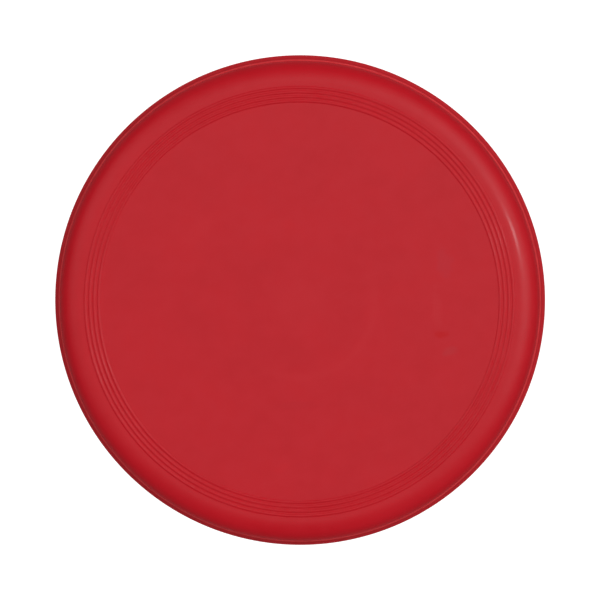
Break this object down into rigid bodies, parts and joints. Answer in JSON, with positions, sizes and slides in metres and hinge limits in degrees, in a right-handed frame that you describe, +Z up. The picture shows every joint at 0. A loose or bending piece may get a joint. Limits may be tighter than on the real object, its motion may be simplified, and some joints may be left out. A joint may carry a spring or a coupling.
{
  "type": "flying disc",
  "caption": "Round plastic flying disc, open underneath, with a flat plate, fine raised flight rings, a rounded shoulder and a stepped rim band with a small lip at the foot.",
  "frame": {"origin": "centre of the circle the rim foot stands on", "axes": "+Z up through the middle of the flight plate, which is the axis of revolution; X and Y lie in the resting plane"},
  "size_m": [0.23, 0.23, 0.022],
  "materials": {
    "red_plastic": "satin"
  },
  "bodies": {
    "root": {"flight_plate": "red_plastic", "flight_rings": "red_plastic", "shoulder": "red_plastic", "rim_band": "red_plastic"}
  },
  "joints": []
}
